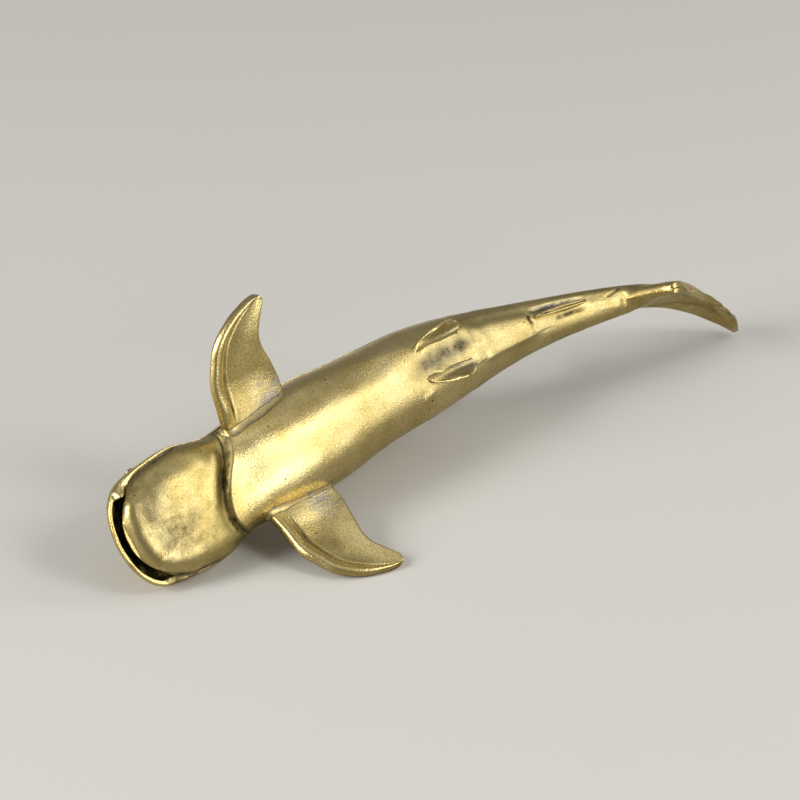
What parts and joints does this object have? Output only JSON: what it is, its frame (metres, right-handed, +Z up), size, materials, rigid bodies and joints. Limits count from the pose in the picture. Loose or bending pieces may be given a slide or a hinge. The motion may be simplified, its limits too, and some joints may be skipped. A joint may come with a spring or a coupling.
{
  "type": "shark figurine",
  "caption": "Small solid brass whale shark lying belly up on its head, one pectoral fin and its dorsal fin, with an open mouth slot, swept fins and a bent tail.",
  "frame": {"origin": "centre of the bounding box in plan, on the level surface that the figurine lies on", "axes": "+X from the snout towards the tail, level; +Z up, away from the surface; +Y completes a right-handed set"},
  "size_m": [0.1018, 0.0348, 0.0306],
  "materials": {
    "cast_brass": "polished with dark oxide in the recesses",
    "tin_solder": "dull grey"
  },
  "bodies": {
    "root": {"back_casting": "cast_brass", "belly_casting": "cast_brass", "jaw_plate": "cast_brass", "right_pectoral_fin": "cast_brass", "left_pectoral_fin": "cast_brass", "right_root_solder": "tin_solder", "left_root_solder": "tin_solder", "right_pelvic_fin": "cast_brass", "left_pelvic_fin": "cast_brass", "first_dorsal_fin": "cast_brass", "second_dorsal_fin": "cast_brass", "anal_fin": "cast_brass", "caudal_fin": "cast_brass"}
  },
  "joints": []
}
